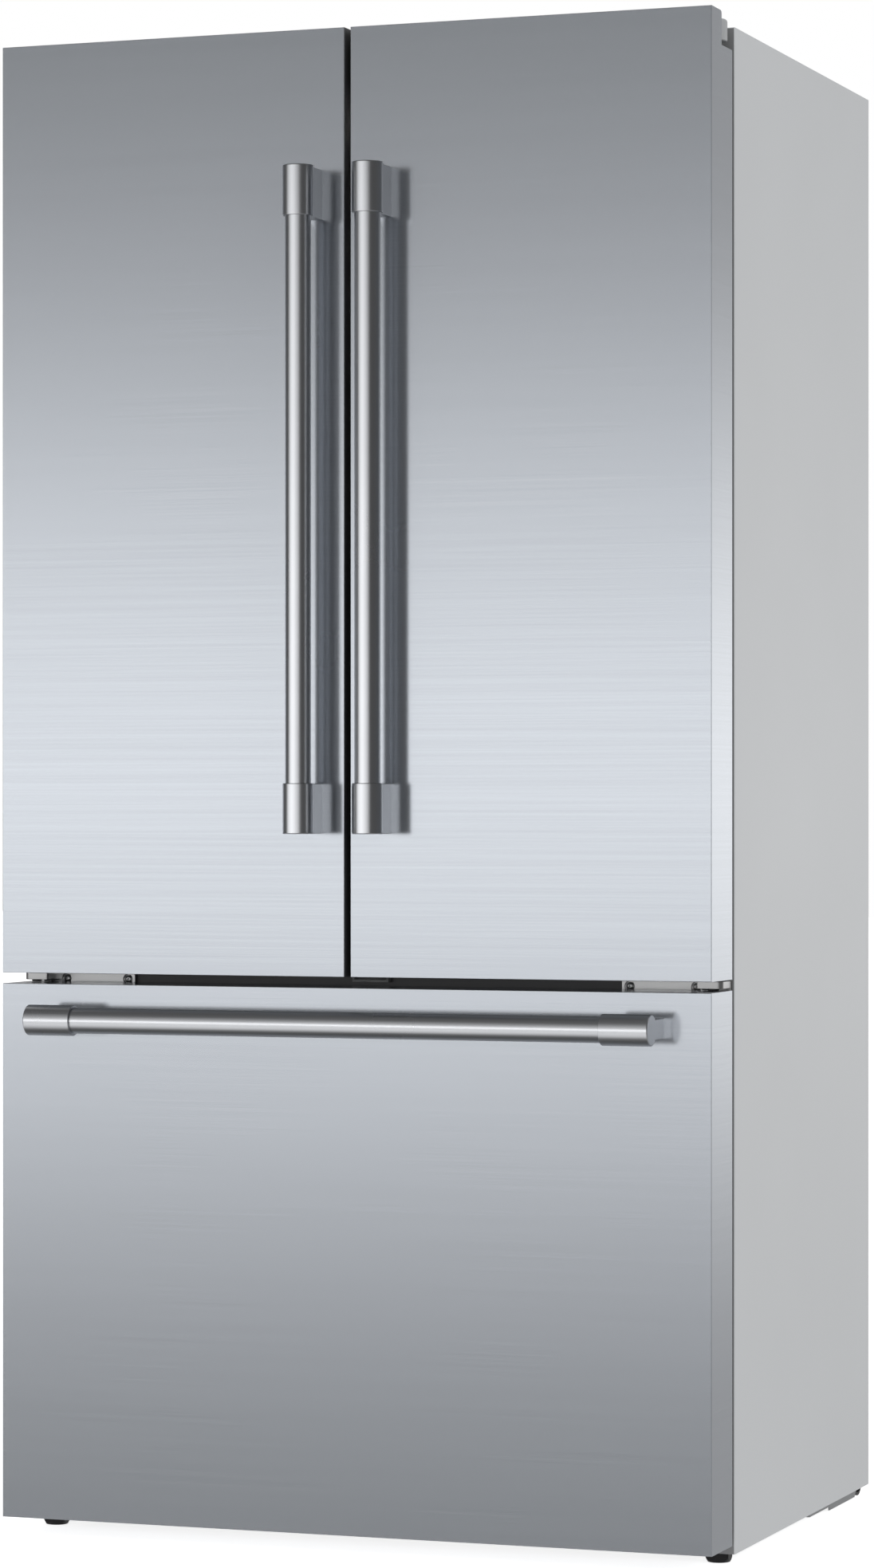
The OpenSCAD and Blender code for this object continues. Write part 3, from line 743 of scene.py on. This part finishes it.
def make_shelf_tracks():
    lo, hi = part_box("shelf_tracks")
    shapes = []
    for _, side in SIDES:
        for x in (62 * MM, 344 * MM):
            for dx in (0, 10 * MM):
                rail = block((x + dx, hi.y - 3 * MM, lo.z), (x + dx + 4 * MM, hi.y, hi.z), 0.5 * MM)
                shapes += on_side([rail], side)
            for k in range(31):
                z = lo.z + k * 25.2 * MM
                rung = block((x + 3 * MM, hi.y - 2.6 * MM, z), (x + 11 * MM, hi.y - 0.4 * MM, z + 12 * MM))
                shapes += on_side([rung], side)
            for z in (1190 * MM, 1480 * MM):
                arm = loft([[(xx, y, zz) for y, zz in ((lo.y, z - 8 * MM), (lo.y, z), (hi.y - 2 * MM, z),
                                                       (hi.y - 2 * MM, z - 30 * MM))]
                            for xx in (x + 5.5 * MM, x + 8.5 * MM)])
                bevelled(arm, arm.edges[:], 0.5 * MM, 2)
                shapes += on_side([arm], side)
    piece("shelf_ladders", "cabinet", "zinc", shapes, ["shelf_tracks"])


def make_shelves(name):
    lo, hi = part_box(name)
    frames, panes = [], []
    for _, side in SIDES:
        low = (6 * MM, lo.y, lo.z)
        frames += on_side([ring_frame(low, hi, 13 * MM)], side)
        panes += on_side([block((low[0] + 11 * MM, lo.y + 11 * MM, lo.z + 1.5 * MM),
                                (hi.x - 11 * MM, hi.y - 11 * MM, lo.z + 5.5 * MM), 0.5 * MM)], side)
    piece(f"{name}_trim", "cabinet", "white", frames, [name])
    piece(f"{name}_panes", "cabinet", "glass", panes, [name])


def make_crisper_cover():
    lo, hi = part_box("crisper_cover")
    x = 394 * MM
    y1 = hi.y
    frame_part = [ring_frame((-x, lo.y + 6 * MM, 900 * MM), (x, y1, 908 * MM), 14 * MM),
                  block((-x, lo.y, 892 * MM), (x, lo.y + 7.5 * MM, 912 * MM), 2 * MM, 3),
                  block((-6 * MM, lo.y + 10 * MM, lo.z), (6 * MM, y1 - 2 * MM, 900 * MM), 2 * MM, 2)]
    for _, side in SIDES:
        ledge = block((x - MM, lo.y + 42 * MM, 896 * MM), (hi.x, y1 - 25 * MM, 904 * MM), MM)
        frame_part += on_side([ledge], side)
    inset = 12 * MM
    pane_part = [block((inset - x, lo.y + 18 * MM, 902 * MM), (x - inset, y1 - inset, 906 * MM), 0.5 * MM)]
    piece("crisper_cover_frame", "cabinet", "white", frame_part, ["crisper_cover"])
    piece("crisper_cover_pane", "cabinet", "glass", pane_part, ["crisper_cover"])


def make_crispers():
    for name, side in SIDES:
        lo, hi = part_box("crisper_right")
        tub = tray((lo.x + MM, lo.y + 10 * MM, lo.z), (hi.x - MM, hi.y, hi.z - 4 * MM), 3 * MM, 14 * MM)
        front = block((lo.x, lo.y + 8 * MM, lo.z), (hi.x, lo.y + 13 * MM, hi.z), 2 * MM, 3)
        grip = block((lo.x + 88 * MM, lo.y, hi.z - 24 * MM), (hi.x - 88 * MM, lo.y + 9 * MM, hi.z - 4 * MM),
                     3 * MM, 3)
        piece(f"crisper_{name}_box", f"crisper_{name}", "clear",
              on_side([tub, front], side), [f"crisper_{name}"])
        piece(f"crisper_{name}_grip", f"crisper_{name}", "white",
              on_side([grip], side), [f"crisper_{name}"])


def make_air_duct():
    lo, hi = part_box("air_duct")
    r, slot, depth = 6 * MM, 30 * MM, 6 * MM
    left = arc_points(lo.x + r, lo.y + r, r, 180, 270, 4)
    right = arc_points(hi.x - r, lo.y + r, r, 270, 360, 4)
    plain = left + right + [(hi.x, hi.y), (lo.x, hi.y)]
    cut = (left + [(-slot, lo.y), (-slot, lo.y + depth), (slot, lo.y + depth), (slot, lo.y)]
           + right + [(hi.x, hi.y), (lo.x, hi.y)])
    shapes, fins, z = [], [], lo.z
    for k in range(6):
        vent = 990 * MM + 120 * MM * k
        shapes += [prism(plain, z, vent), prism(cut, vent, vent + 10 * MM)]
        fins += [block((-slot, lo.y + 0.5 * MM, vent + dz), (slot, lo.y + depth, vent + dz + 0.9 * MM))
                 for dz in (2.6 * MM, 6.2 * MM)]
        z = vent + 10 * MM
    shapes.append(prism(plain, z, hi.z))
    piece("cold_air_duct", "cabinet", "white", shapes, ["air_duct"])
    piece("cold_air_fins", "cabinet", "cover", fins)


make_fridge_liner()
make_shelf_tracks()
make_shelves("upper_shelves")
make_shelves("lower_shelves")
make_crisper_cover()
make_crispers()
make_air_duct()


# ------------------------------------------------------------------ inside of the doors
BIN_H = 95 * MM


def liner_plate():
    """The flat back of a door, cut away under the hinge."""
    lo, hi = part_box("right_door_liner")
    front = hi.y - 42 * MM
    xn, zn = NOTCH_X - MM, NOTCH_Z - MM
    outline = [(lo.x, lo.z), (hi.x, lo.z), (hi.x, zn), (xn, zn), (xn, hi.z), (lo.x, hi.z)]
    return loft([[(x, y, z) for x, z in outline] for y in (front, front + 2 * MM)])


def dyke_ring():
    """The raised frame on a door's inner face, vacuum-formed with leaning sides."""
    bins_lo, bins_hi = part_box("right_bins")
    opening_lo, opening_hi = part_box("fridge_liner")
    x0, x1 = bins_lo.x - 17 * MM, bins_hi.x + 17 * MM
    z0, z1 = opening_lo.z + 15 * MM, opening_hi.z - 15 * MM
    y1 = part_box("right_door_liner")[1].y
    depth = 40.5 * MM
    steps = [(0.0, 0.0), (0.3, 1.2), (0.8, 2.2), (1.0, 4.0), (1.0, 8.5), (0.93, 11.0), (0.3, 12.6),
             (0.0, 14.0)]
    loops = [upright_loop(x0 + d * MM, x1 - d * MM, z0 + d * MM, z1 - d * MM, y1 - depth * (1 - k),
                          (18 - d * 0.6) * MM, 6) for k, d in steps]
    return loft(loops, closed=True)


def flap_ears():
    """Two lugs on the left door that hold the flap's pin."""
    lo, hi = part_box("mullion_flap")
    shapes = []
    for z in (lo.z - 2 * MM, hi.z - 8 * MM):
        shapes += [block((lo.x - 19 * MM, lo.y - 13 * MM, z), (lo.x - 4 * MM, lo.y + 13 * MM, z + 10 * MM),
                         1.5 * MM),
                   block((lo.x - 6 * MM, lo.y + MM, z), (hi.x, lo.y + 11 * MM, z + 10 * MM), 1.5 * MM)]
    return shapes


def door_bin_shapes():
    """Three bins, one above the other, and the white rail along each one's front."""
    lo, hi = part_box("right_bins")
    pitch = (hi.z - lo.z - BIN_H) / 2
    bins, rails = [], []
    for k in range(3):
        z = lo.z + k * pitch
        bins.append(tray((lo.x, lo.y, z), (hi.x, hi.y, z + BIN_H), 3 * MM, 16 * MM))
        rails.append(block((lo.x + 14 * MM, hi.y - 2.4 * MM, z + BIN_H - 24 * MM),
                           (hi.x - 14 * MM, hi.y - 0.3 * MM, z + BIN_H - 8 * MM), 0.9 * MM))
    return bins, rails


def make_door_insides():
    for name, side in SIDES:
        body = f"{name}_door"
        shapes = on_side([liner_plate(), dyke_ring()], side) + (flap_ears() if side < 0 else [])
        piece(f"{name}_door_inner", body, "white", shapes, [f"{name}_door_liner"])
        bins, rails = door_bin_shapes()
        piece(f"{name}_door_bins", body, "clear", on_side(bins, side), [f"{name}_bins"])
        piece(f"{name}_bin_rails", body, "white", on_side(rails, side), [f"{name}_bins"])


def make_drawer_liner():
    lo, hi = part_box("drawer_liner")
    plate = block((lo.x, hi.y - 2 * MM, lo.z), (hi.x, hi.y, hi.z), 0.3 * MM, 1)
    x, z0, z1 = hi.x - 51 * MM, lo.z + 71 * MM, hi.z - 30 * MM
    raised = loft([upright_loop(d * MM - x, x - d * MM, z0 + d * MM, z1 - d * MM, hi.y + out * MM, 16 * MM)
                   for out, d in ((-0.5, 0), (3, 1), (5.2, 2.4), (6, 5))])
    piece("drawer_inner", "freezer_drawer", "white", [plate, raised], ["drawer_liner"])


def make_baskets():
    lo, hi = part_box("drawer_basket")
    x = hi.x - 32.5 * MM                # the rest of the width is the two flanges
    shapes = [tray((-x, lo.y, lo.z), (x, hi.y, hi.z), 3 * MM, 22 * MM, 3 * MM)]
    for _, side in SIDES:
        flange = block((x - MM, lo.y + 24 * MM, hi.z - 3 * MM), (hi.x, hi.y - 24 * MM, hi.z), 0.6 * MM)
        shapes += on_side([flange], side)
    piece("freezer_basket", "freezer_drawer", "clear", shapes, ["drawer_basket"])
    lo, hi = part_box("freezer_tray")
    piece("freezer_top_tray", "freezer_tray", "clear",
          [tray(lo, hi, 3 * MM, 18 * MM, 3 * MM)], ["freezer_tray"])


make_door_insides()
make_drawer_liner()
make_baskets()


# ------------------------------------------------------------------ back and machine bay
def make_back_screws():
    lo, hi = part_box("back_panel")
    cover_lo, cover_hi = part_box("machine_cover")
    inset = 14 * MM
    spots = [(x, z) for z in (lo.z + inset, hi.z - inset) for x in (-400, -200, 0, 200, 400)]
    spots += [(x, lo.z + (hi.z - lo.z) * k / 5) for x in (-430, 430) for k in range(1, 5)]
    shapes = [pan_screw((x * MM, lo.y + 2 * MM, z), "y", 4 * MM) for x, z in spots]
    for x in (-415, -140, 60, 340):
        for z in (cover_lo.z + 10 * MM, cover_hi.z - 10 * MM):
            shapes.append(pan_screw((x * MM, cover_hi.y, z), "y", 4 * MM))
    piece("back_screws", "cabinet", "zinc", shapes)


make_back_screws()


# ------------------------------------------------------------------ other CAD nodes keep their shape
CAD_LOOKS = {
    "rail": ["center_rail"],
    "zinc": ["back_panel", "machine_cover", "top_hinges", "slide_outer", "slide_middle", "slide_inner"],
    "base_zinc": ["base_frame", "roller_brackets"],
    "cover": ["mullion_guide", "mullion_flap"],
    "white": ["freezer_liner", "evaporator_cover", "left_bushings", "right_bushings"],
    "black": ["roller_left", "roller_right", "foot_left", "foot_right", "condenser_fan", "power_inlet"],
    "enamel": ["compressor"],
    "aluminium": ["condenser", "evaporator", "fan_motor"],
    "lens": ["ceiling_light"],
    "foam": ["cabinet_foam", "left_door_foam", "right_door_foam", "drawer_foam"],
}


def dress_cad_nodes():
    for look, names in CAD_LOOKS.items():
        for name in names:
            node = frame["nodes"][name]
            for slot_index in range(len(node.material_slots)):
                node.material_slots[slot_index].material = M[look]
            weld = node.modifiers.new("weld", "WELD")
            weld.merge_threshold = 1e-5
            edge = node.modifiers.new("soft_edges", "BEVEL")
            edge.width = 0.4 * MM
            edge.segments = 2
            edge.limit_method = "ANGLE"
            edge.angle_limit = math.radians(50)


dress_cad_nodes()
# without this the lamp glints on the door edges, in the gap between the doors
frame["nodes"]["ceiling_light"].visible_glossy = False


# ------------------------------------------------------------------ studio
BAND_LEVEL = 1.98        # brightness of the soft band at eye level
BAND_WIDTH = 2.7         # its half width, degrees
REAR_LEVEL = 1.15        # the same for the band that the fronts' right edges mirror
REAR_WIDTH = 3.7
BAND_HEIGHT = 0.3
FRONT_FILL = 0.05        # above and below the band
SPILL = 0.10             # elsewhere
BACK_FILL = 0.35
FLOOR_GLOW = 0.42        # the pale floor and ceiling, as the metal mirrors them from higher viewpoints
CEILING_GLOW = 0.50
AMBIENT = 0.55           # what matt surfaces get from all round
HANDLE_GLOW = 0.18       # brightness of each disc that the handles mirror
GLOW_RADII = (13, 21, 29, 38, 49)                     # degrees
ROOM_LIGHTS = (("side_light", 75, 22, 0.9, 50),       # azimuth, elevation, strength, spread
               ("front_light", -25, 4, 0.35, 20))


class Sky:
    """A small hand for building the world's node tree; angles are in degrees."""

    def __init__(self, tree):
        self.tree = tree
        split = tree.nodes.new("ShaderNodeSeparateXYZ")
        tree.links.new(tree.nodes.new("ShaderNodeTexCoord").outputs["Generated"], split.inputs[0])
        x, y, z = split.outputs
        self.rearward = y
        self.height = self.f("MULTIPLY", self.f("ARCSINE", z), 180 / math.pi)
        self.azimuth = self.f("MULTIPLY", self.f("ARCTAN2", x, self.f("MULTIPLY", y, -1.0)), 180 / math.pi)

    def f(self, operation, *values):
        node = self.tree.nodes.new("ShaderNodeMath")
        node.operation = operation
        for i, value in enumerate(values):
            if isinstance(value, (int, float)):
                node.inputs[i].default_value = value
            else:
                self.tree.links.new(value, node.inputs[i])
        return node.outputs[0]

    def smooth(self, value, low, high):
        """A soft step from 0 at low to 1 at high."""
        node = self.tree.nodes.new("ShaderNodeMapRange")
        node.interpolation_type = "SMOOTHSTEP"
        node.inputs["From Min"].default_value = low
        node.inputs["From Max"].default_value = high
        self.tree.links.new(value, node.inputs["Value"])
        return node.outputs["Result"]

    def lobe(self, towards, low, high):
        """1 round the azimuth towards and 0 far from it; low and high are cosines of the angle."""
        turn = self.f("MULTIPLY", self.f("SUBTRACT", self.azimuth, towards), math.pi / 180)
        return self.smooth(self.f("COSINE", turn), low, high)

    def band(self, level, width):
        """A level soft band that is brightest at BAND_HEIGHT."""
        away = self.f("DIVIDE", self.f("SUBTRACT", self.height, BAND_HEIGHT), width)
        bell = self.f("EXPONENT", self.f("MULTIPLY", self.f("MULTIPLY", away, away), -0.5))
        return self.f("ADD", self.f("MULTIPLY", bell, level), FRONT_FILL)


def sky_bands(sky):
    """The bands that the fronts and their right edges mirror, and the fill elsewhere."""
    front = sky.f("MULTIPLY", sky.band(BAND_LEVEL, BAND_WIDTH), sky.lobe(-16.0, 0.50, 0.86))
    rear = sky.f("MULTIPLY", sky.band(REAR_LEVEL, REAR_WIDTH), sky.lobe(163.0, 0.70, 0.93))
    level = sky.f("ADD", sky.f("MAXIMUM", front, rear), SPILL)
    return sky.f("MAXIMUM", level, sky.f("MULTIPLY", sky.smooth(sky.rearward, 0.62, 0.88), BACK_FILL))


def sky_glows(sky):
    """The pale floor in front of the object and the ceiling behind it."""
    floor = sky.f("MULTIPLY", sky.smooth(sky.height, -16.0, -26.0), sky.smooth(sky.height, -62.0, -42.0))
    ceiling = sky.f("MULTIPLY", sky.smooth(sky.height, 15.0, 32.0), sky.smooth(sky.rearward, -0.05, 0.45))
    return sky.f("ADD", sky.f("MULTIPLY", floor, FLOOR_GLOW), sky.f("MULTIPLY", ceiling, CEILING_GLOW))


def make_world():
    """White behind the object; what the steel mirrors is a long soft band at eye level."""
    world = bpy.data.worlds.new("studio")
    bpy.context.scene.world = world
    world.use_nodes = True
    tree = world.node_tree
    sky = Sky(tree)
    level = sky.f("ADD", sky_bands(sky), sky_glows(sky))
    path = tree.nodes.new("ShaderNodeLightPath").outputs
    for ray, value in (("Is Diffuse Ray", AMBIENT), ("Is Camera Ray", 1.0)):
        seen = path[ray]
        level = sky.f("ADD", sky.f("MULTIPLY", level, sky.f("SUBTRACT", 1.0, seen)),
                      sky.f("MULTIPLY", seen, value))
    tree.links.new(level, tree.nodes["Background"].inputs["Strength"])
    tree.nodes["Background"].inputs["Color"].default_value = (1, 1, 1, 1)


def make_floor():
    n = Nodes("pale_floor")
    grain = n.noise(30, detail=4.0)
    n.tint(grain, (0.90, 0.90, 0.90), (0.93, 0.93, 0.93))
    n.set(Roughness=0.8, Emission_Color=(1, 1, 1, 1), Emission_Strength=0.80)
    mesh = bpy.data.meshes.new("floor")
    bm = bmesh.new()
    bmesh.ops.create_grid(bm, x_segments=1, y_segments=1, size=30.0)
    bm.to_mesh(mesh)
    bm.free()
    mesh.materials.append(n.material)
    floor = bpy.data.objects.new("floor", mesh)
    bpy.context.scene.collection.objects.link(floor)
    floor.visible_glossy = False
    floor.visible_diffuse = False


def soft_sun(name, azimuth, elevation, strength, spread, mirrored_by=None):
    """A broad soft light; only the objects in mirrored_by, if any, are lit by it and mirror it."""
    data = bpy.data.lights.new(name, "SUN")
    data.energy = strength
    data.angle = math.radians(spread)
    sun = bpy.data.objects.new(name, data)
    a, e = math.radians(azimuth), math.radians(elevation)
    toward = Vector((math.sin(a) * math.cos(e), -math.cos(a) * math.cos(e), math.sin(e)))
    sun.rotation_euler = toward.to_track_quat("Z", "Y").to_euler()
    sun.visible_glossy = mirrored_by is not None
    bpy.context.scene.collection.objects.link(sun)
    if mirrored_by is not None:
        sun.light_linking.receiver_collection = mirrored_by


def light_handles():
    """Five discs inside one another make a round soft glow that only the bright bars mirror."""
    group = bpy.data.collections.new("handle_light_receivers")
    for obj in handles:
        group.objects.link(obj)
    for radius in GLOW_RADII:
        strength = HANDLE_GLOW * math.pi * math.sin(math.radians(radius)) ** 2
        soft_sun(f"handle_glow_{radius}", -25, -6, strength, 2 * radius, group)
    # from behind: it shows on the handles when the doors stand open
    soft_sun("handle_end_glow", 165, 0, 0.9, 60, group)


make_world()
make_floor()
for light in ROOM_LIGHTS:
    soft_sun(*light)
light_handles()

bpy.context.scene.view_settings.view_transform = "Standard"
